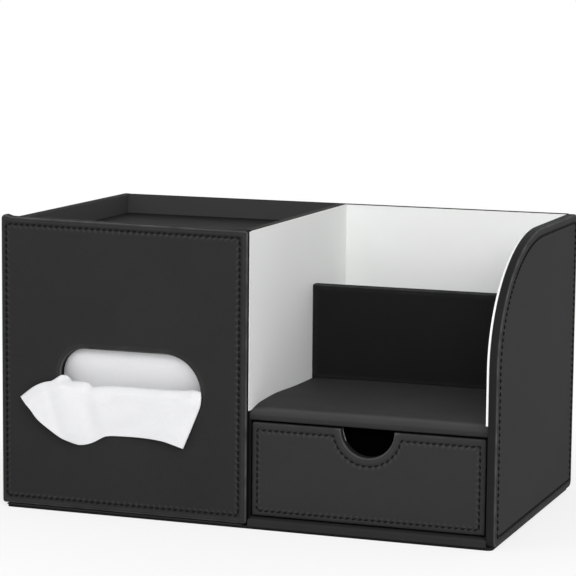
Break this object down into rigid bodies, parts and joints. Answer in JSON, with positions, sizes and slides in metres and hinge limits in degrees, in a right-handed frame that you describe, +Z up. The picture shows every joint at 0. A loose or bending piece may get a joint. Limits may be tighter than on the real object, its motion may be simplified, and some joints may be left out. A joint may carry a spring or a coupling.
{
  "type": "tissue box with drawer",
  "caption": "Wrapped-board desk organiser: slotted tissue compartment with a tray on top, beside a rear pocket with a curved side, padded shelf and a notched drawer.",
  "frame": {"origin": "middle of the face that rests on the desk, centred on the walls' width and depth", "axes": "+X to the drawer side, +Y from the front to the back, +Z up"},
  "size_m": [0.28, 0.167, 0.1594],
  "materials": {
    "black_imitation_leather": "fine pebbled grain, satin, black lock-stitched seams",
    "wrapped_board": "raw fibreboard, hidden under the leather",
    "black_facing": "smooth black imitation leather",
    "pale_lining": "pale grey smooth imitation leather",
    "bottom_sheet": "black non-woven backing",
    "shelf_foam": "thin foam padding, hidden",
    "drawer_wrap": "thin board covered with black paper-backed leatherette",
    "drawer_felt": "black flocked felt",
    "magnet": "plated disc magnets, hidden",
    "tissue": "soft creped white tissue"
  },
  "bodies": {
    "carcass": {"base_pad": "bottom_sheet", "base_cover": "black_imitation_leather", "left_wall_cover": "black_imitation_leather", "right_panel_cover": "black_imitation_leather", "back_cover": "black_imitation_leather", "partition_cover": "black_imitation_leather", "tray_floor_cover": "black_imitation_leather", "tray_lip_cover": "black_imitation_leather", "shelf_cover": "black_imitation_leather", "divider_cover": "black_imitation_leather", "flap_hinge_strip": "black_imitation_leather", "base_core": "wrapped_board", "left_wall_core": "wrapped_board", "right_panel_core": "wrapped_board", "back_core": "wrapped_board", "partition_core": "wrapped_board", "tray_floor_core": "wrapped_board", "tray_lip_core": "wrapped_board", "shelf_core": "wrapped_board", "divider_core": "wrapped_board", "left_wall_facing": "black_facing", "back_facing": "black_facing", "tray_floor_facing": "black_facing", "tray_lip_facing": "black_facing", "shelf_facing": "black_facing", "divider_facing": "black_facing", "drawer_bay_lining_left": "black_facing", "drawer_bay_lining_right": "black_facing", "right_panel_lining": "pale_lining", "back_lining": "pale_lining", "partition_lining": "pale_lining", "shelf_padding": "shelf_foam", "tray_magnets": "magnet", "tissue_stack": "tissue"},
    "flap": {"flap_core": "wrapped_board", "flap_cover": "black_imitation_leather", "flap_lining": "black_facing", "flap_magnets": "magnet", "tissue_sheet": "tissue"},
    "drawer": {"drawer_front_core": "wrapped_board", "drawer_front_cover": "black_imitation_leather", "drawer_front_lining": "pale_lining", "drawer_side_left": "drawer_wrap", "drawer_side_right": "drawer_wrap", "drawer_back": "drawer_wrap", "drawer_floor": "drawer_wrap", "drawer_felt": "drawer_felt"}
  },
  "joints": [
    {"name": "drawer_slide", "type": "slide", "parent": "carcass", "child": "drawer", "axis": [0, -1, 0], "range_m": [0, 0.11]},
    {"name": "flap_hinge", "type": "hinge", "parent": "carcass", "child": "flap", "pos_m": [-0.0681, -0.0825, 0.0022], "axis": [1, 0, 0], "range_deg": [0, 85]}
  ]
}
